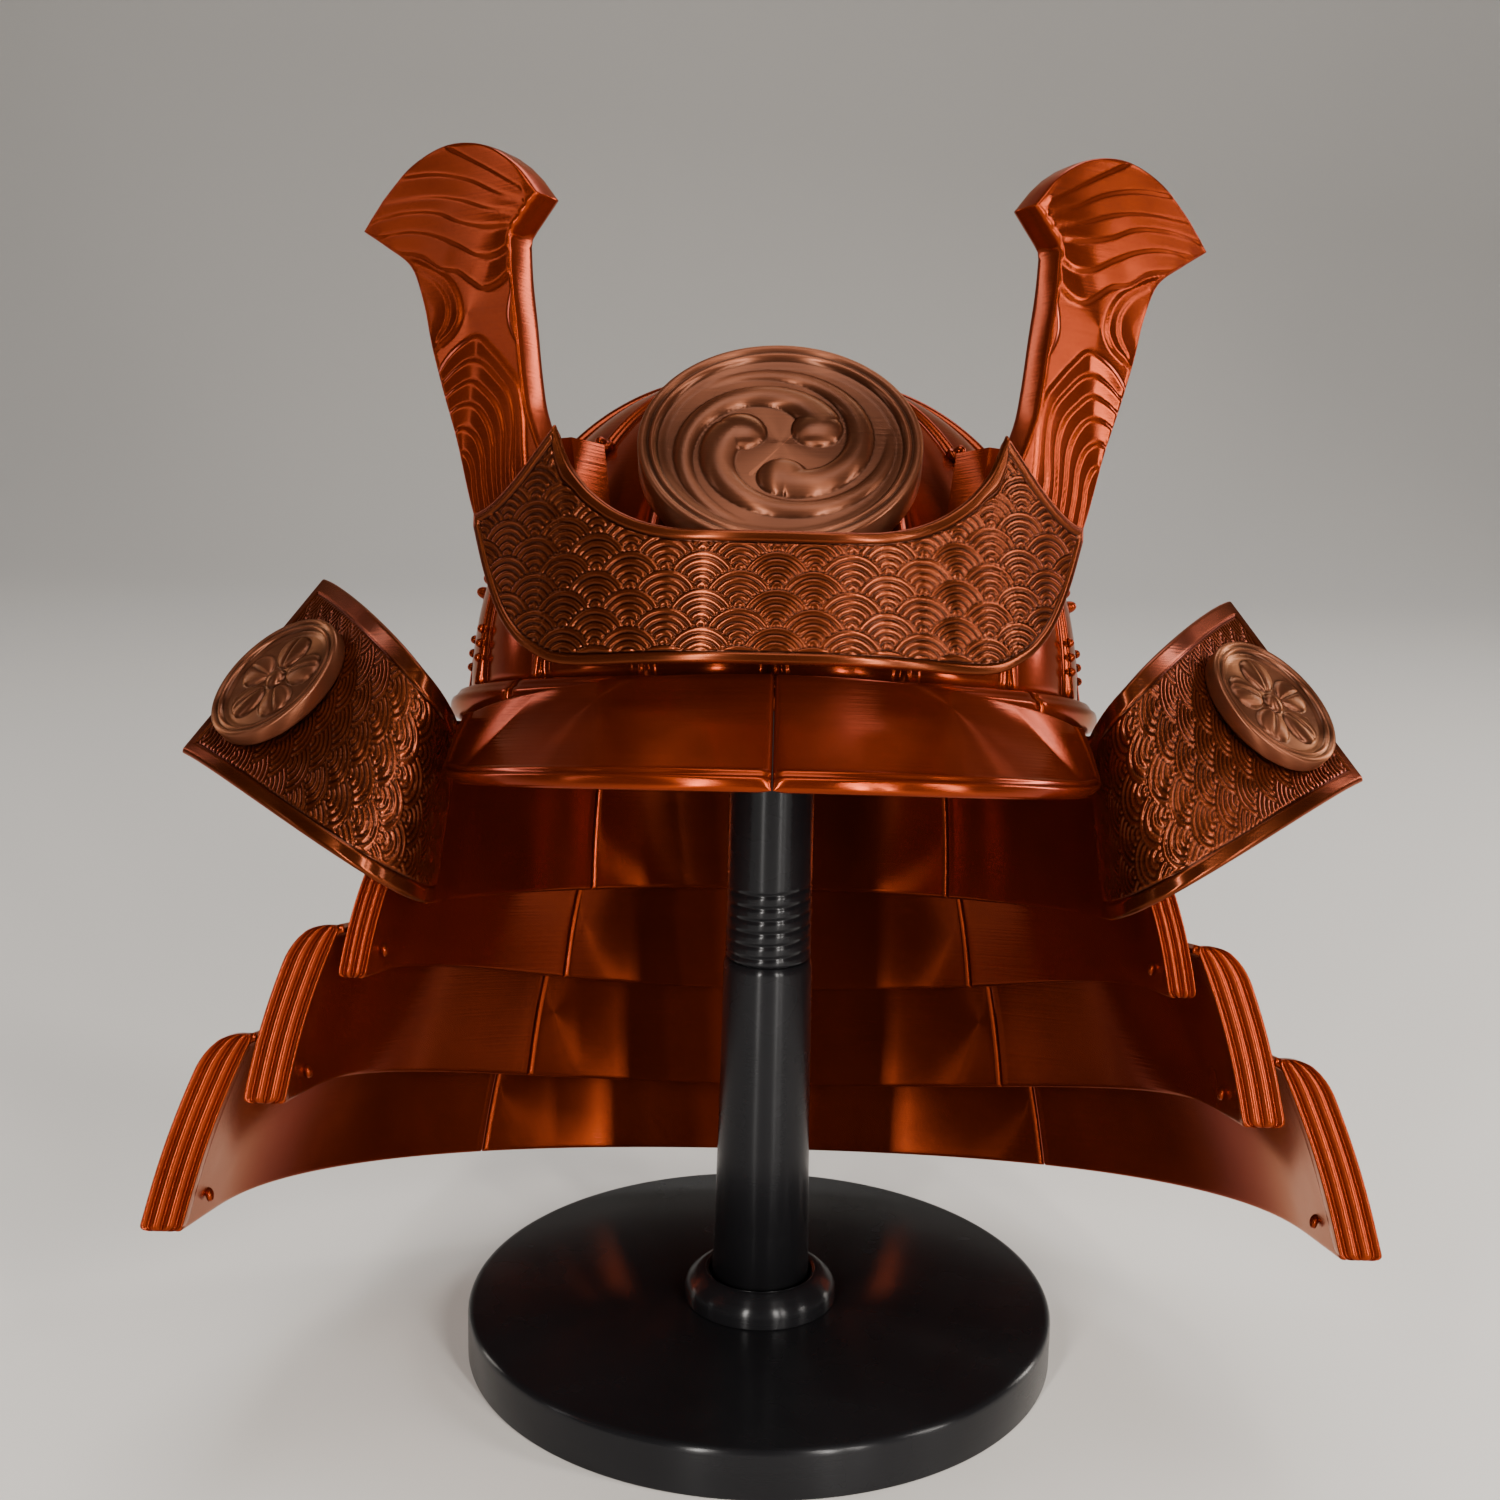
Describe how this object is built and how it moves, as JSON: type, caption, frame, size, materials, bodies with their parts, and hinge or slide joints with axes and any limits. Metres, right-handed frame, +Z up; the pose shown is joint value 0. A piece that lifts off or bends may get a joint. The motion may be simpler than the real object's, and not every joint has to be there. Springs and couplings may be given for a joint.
{
  "type": "samurai kabuto helmet on display stand",
  "caption": "Samurai helmet with ribbed bowl, flaring laminated neck guard, brim, turned-back wings, horned front crest and round disc, held on a plain round post stand.",
  "frame": {"origin": "centre of the round stand's underside", "axes": "+Z up; the helmet faces -Y; +X is to the right as seen from the front, and left and right in names are as seen from the front"},
  "size_m": [0.431, 0.3454, 0.483],
  "materials": {
    "helmet_print": "glossy silk, with fine print layers",
    "plate_print": "satin silk, with fine print layers",
    "crest_print": "satin silk, with fine print layers",
    "stand_print": "satin black, with fine print layers"
  },
  "bodies": {
    "root": {"bowl": "helmet_print", "rim_front": "helmet_print", "front_plate": "plate_print", "front_disc": "crest_print", "disc_boss": "crest_print", "rim_left": "helmet_print", "brim_left": "helmet_print", "horn_left": "helmet_print", "horn_socket_left": "helmet_print", "wing_left": "helmet_print", "wing_crest_left": "crest_print", "rim_right": "helmet_print", "brim_right": "helmet_print", "horn_right": "helmet_print", "horn_socket_right": "helmet_print", "wing_right": "helmet_print", "wing_crest_right": "crest_print", "lame_1_back": "helmet_print", "lame_1_left": "helmet_print", "lame_1_right": "helmet_print", "lame_2_back": "helmet_print", "lame_2_left": "helmet_print", "rivet_2_left": "helmet_print", "lame_2_right": "helmet_print", "rivet_2_right": "helmet_print", "lame_3_back": "helmet_print", "lame_3_left": "helmet_print", "rivet_3_left": "helmet_print", "lame_3_right": "helmet_print", "rivet_3_right": "helmet_print", "lame_4_back": "helmet_print", "lame_4_left": "helmet_print", "rivet_4_left": "helmet_print", "lame_4_right": "helmet_print", "rivet_4_right": "helmet_print", "stand_base": "stand_print", "stand_collar": "stand_print", "post_lower": "stand_print", "post_upper": "stand_print"}
  },
  "joints": []
}
